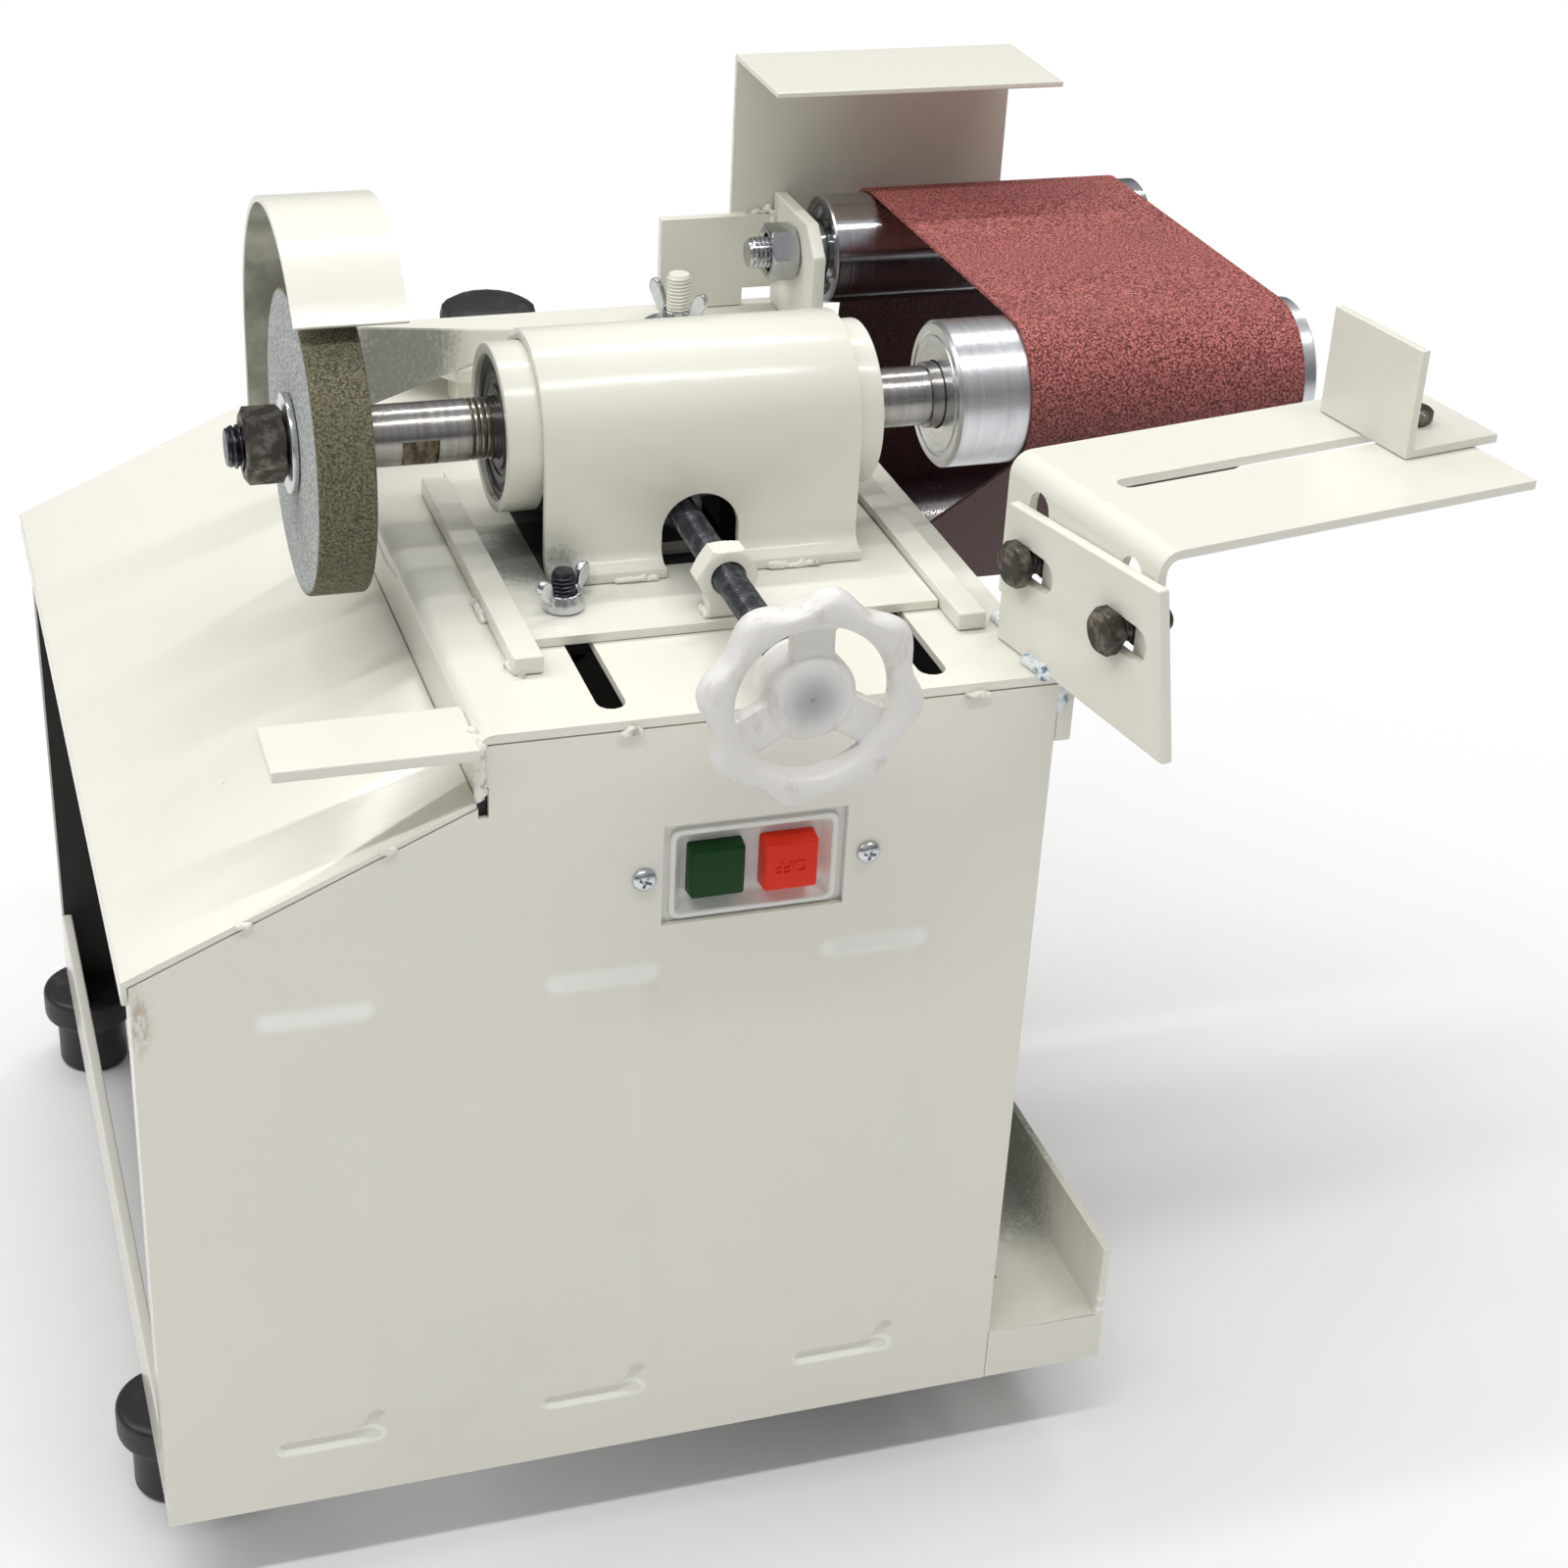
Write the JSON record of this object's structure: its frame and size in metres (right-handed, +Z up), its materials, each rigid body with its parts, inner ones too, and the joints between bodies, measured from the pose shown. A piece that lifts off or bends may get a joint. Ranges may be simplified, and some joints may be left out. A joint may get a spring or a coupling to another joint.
{
  "type": "belt disc sander",
  "caption": "Bench sander: sheet-steel cabinet with a screw-fed spindle saddle that turns a grinding wheel and a tensioned sanding belt, with a tool rest and a slotted work rest.",
  "frame": {"origin": "on the floor, under the middle of the whole object's box", "axes": "+Z up, +Y from the switch panel to the back, +X from the grinding wheel to the sanding belt"},
  "size_m": [0.4462, 0.4083, 0.4345],
  "materials": {
    "cream_paint": "glossy cream enamel over welded sheet steel",
    "bright_steel": "turned and ground steel",
    "turned_aluminium": "turned, with fine tool marks",
    "dark_oxide": "black oxide, lightly oiled",
    "zinc_plate": "bright zinc plate",
    "grinding_stone": "vitrified grey abrasive grain",
    "abrasive_cloth": "red-brown aluminium oxide grain on cloth",
    "black_rubber": "moulded, matte",
    "white_nylon": "translucent white moulding",
    "white_plastic": "satin white moulding",
    "green_plastic": "moulded green key",
    "red_plastic": "moulded red key",
    "bearing_seal": "sealed ball bearing with dark seals",
    "motor_paint": "grey painted motor"
  },
  "bodies": {
    "base": {"front_panel": "cream_paint", "back_panel": "cream_paint", "right_wall": "cream_paint", "left_rail": "cream_paint", "sloped_cover": "cream_paint", "foot_left_front": "black_rubber", "foot_left_rear": "black_rubber", "foot_right_front": "black_rubber", "foot_right_rear": "black_rubber", "base_frame": "cream_paint", "top_plate": "cream_paint", "tool_rest": "cream_paint", "guide_bar_left": "cream_paint", "guide_bar_right": "cream_paint", "arm_block": "cream_paint", "arm_washer": "zinc_plate", "lower_axle": "bright_steel", "sanding_belt": "abrasive_cloth", "switch_bezel": "white_plastic", "switch_screw_left": "zinc_plate", "switch_screw_right": "zinc_plate", "mount_plate": "cream_paint", "rest_bolt_back": "dark_oxide", "rest_bolt_front": "dark_oxide"},
    "saddle": {"saddle_plate": "cream_paint", "arch_saddle": "cream_paint", "bearing_ring_left": "cream_paint", "bearing_ring_right": "cream_paint", "bearing_left": "bearing_seal", "bearing_right": "bearing_seal", "feed_nut": "cream_paint", "motor_hanger": "cream_paint", "motor": "motor_paint", "v_belt": "black_rubber", "clamp_bolt": "dark_oxide"},
    "handwheel": {"handwheel": "white_nylon", "feed_screw": "dark_oxide"},
    "spindle": {"spindle_shaft": "bright_steel", "spindle_pulley": "bright_steel", "grinding_wheel": "grinding_stone", "wheel_washer": "zinc_plate", "wheel_nut": "dark_oxide", "drive_roller": "turned_aluminium"},
    "motor_shaft": {"motor_pulley": "bright_steel"},
    "arm": {"arm_plate": "cream_paint", "idler_bracket": "cream_paint", "idler_nut": "zinc_plate", "idler_axle": "bright_steel", "back_guard": "cream_paint", "wheel_guard": "cream_paint"},
    "rear_roller": {"rear_idler": "bright_steel"},
    "lower_roller": {"lower_idler": "bright_steel"},
    "clamp_wing": {"clamp_wing_nut": "zinc_plate"},
    "knob": {"hanger_knob": "black_rubber"},
    "arm_wing": {"arm_wing_nut": "zinc_plate"},
    "rest": {"work_rest": "cream_paint"},
    "fence": {"fence": "cream_paint", "fence_bolt": "dark_oxide"},
    "on_key": {"on_key": "green_plastic"},
    "off_key": {"off_key": "red_plastic"}
  },
  "joints": [
    {"name": "handwheel_turn", "type": "hinge", "parent": "base", "child": "handwheel", "pos_m": [-0.01698, -0.17155, 0.337], "axis": [0, -1, 0], "range_deg": [0, 1440]},
    {"name": "saddle_slide", "type": "slide", "parent": "base", "child": "saddle", "axis": [0, 1, 0], "range_m": [0, 0.006]},
    {"name": "spindle_spin", "type": "hinge", "parent": "saddle", "child": "spindle", "pos_m": [-0.11228, -0.02105, 0.364], "axis": [1, 0, 0], "continuous": true},
    {"name": "motor_shaft_spin", "type": "hinge", "parent": "saddle", "child": "motor_shaft", "pos_m": [0.01272, -0.02105, 0.187], "axis": [1, 0, 0], "continuous": true},
    {"name": "arm_slide", "type": "slide", "parent": "base", "child": "arm", "axis": [0, 1, 0], "range_m": [-0.0045, 0]},
    {"name": "rear_roller_spin", "type": "hinge", "parent": "arm", "child": "rear_roller", "pos_m": [0.14472, 0.11796, 0.367], "axis": [1, 0, 0], "continuous": true},
    {"name": "lower_roller_spin", "type": "hinge", "parent": "base", "child": "lower_roller", "pos_m": [0.14472, 0.13795, 0.237], "axis": [1, 0, 0], "continuous": true},
    {"name": "clamp_wing_turn", "type": "hinge", "parent": "saddle", "child": "clamp_wing", "pos_m": [-0.06528, -0.07254, 0.3236], "axis": [0, 0, 1], "range_deg": [0, 270]},
    {"name": "knob_turn", "type": "hinge", "parent": "saddle", "child": "knob", "pos_m": [-0.03428, 0.17095, 0.3203], "axis": [0, 0, 1], "range_deg": [0, 270]},
    {"name": "arm_wing_turn", "type": "hinge", "parent": "base", "child": "arm_wing", "pos_m": [0.02722, 0.12095, 0.3402], "axis": [0, 0, 1], "range_deg": [0, 270]},
    {"name": "rest_lift", "type": "slide", "parent": "base", "child": "rest", "axis": [0, 0, 1], "range_m": [-0.008, 0.005]},
    {"name": "fence_slide", "type": "slide", "parent": "rest", "child": "fence", "axis": [0.9833, 0.1822, 0], "range_m": [-0.08, 0.002]},
    {"name": "on_key_press", "type": "slide", "parent": "base", "child": "on_key", "axis": [0, 1, 0], "range_m": [0, 0.004], "stiffness_N_per_m": 400},
    {"name": "off_key_press", "type": "slide", "parent": "base", "child": "off_key", "axis": [0, 1, 0], "range_m": [0, 0.004], "stiffness_N_per_m": 400}
  ],
  "couplings": [
    {"joint": "handwheel_turn", "follows": "saddle_slide", "rad_per_m": 4188.8},
    {"joint": "motor_shaft_spin", "follows": "spindle_spin", "ratio": 0.7857},
    {"joint": "rear_roller_spin", "follows": "spindle_spin", "ratio": 1.2133},
    {"joint": "lower_roller_spin", "follows": "spindle_spin", "ratio": 1.2249}
  ]
}
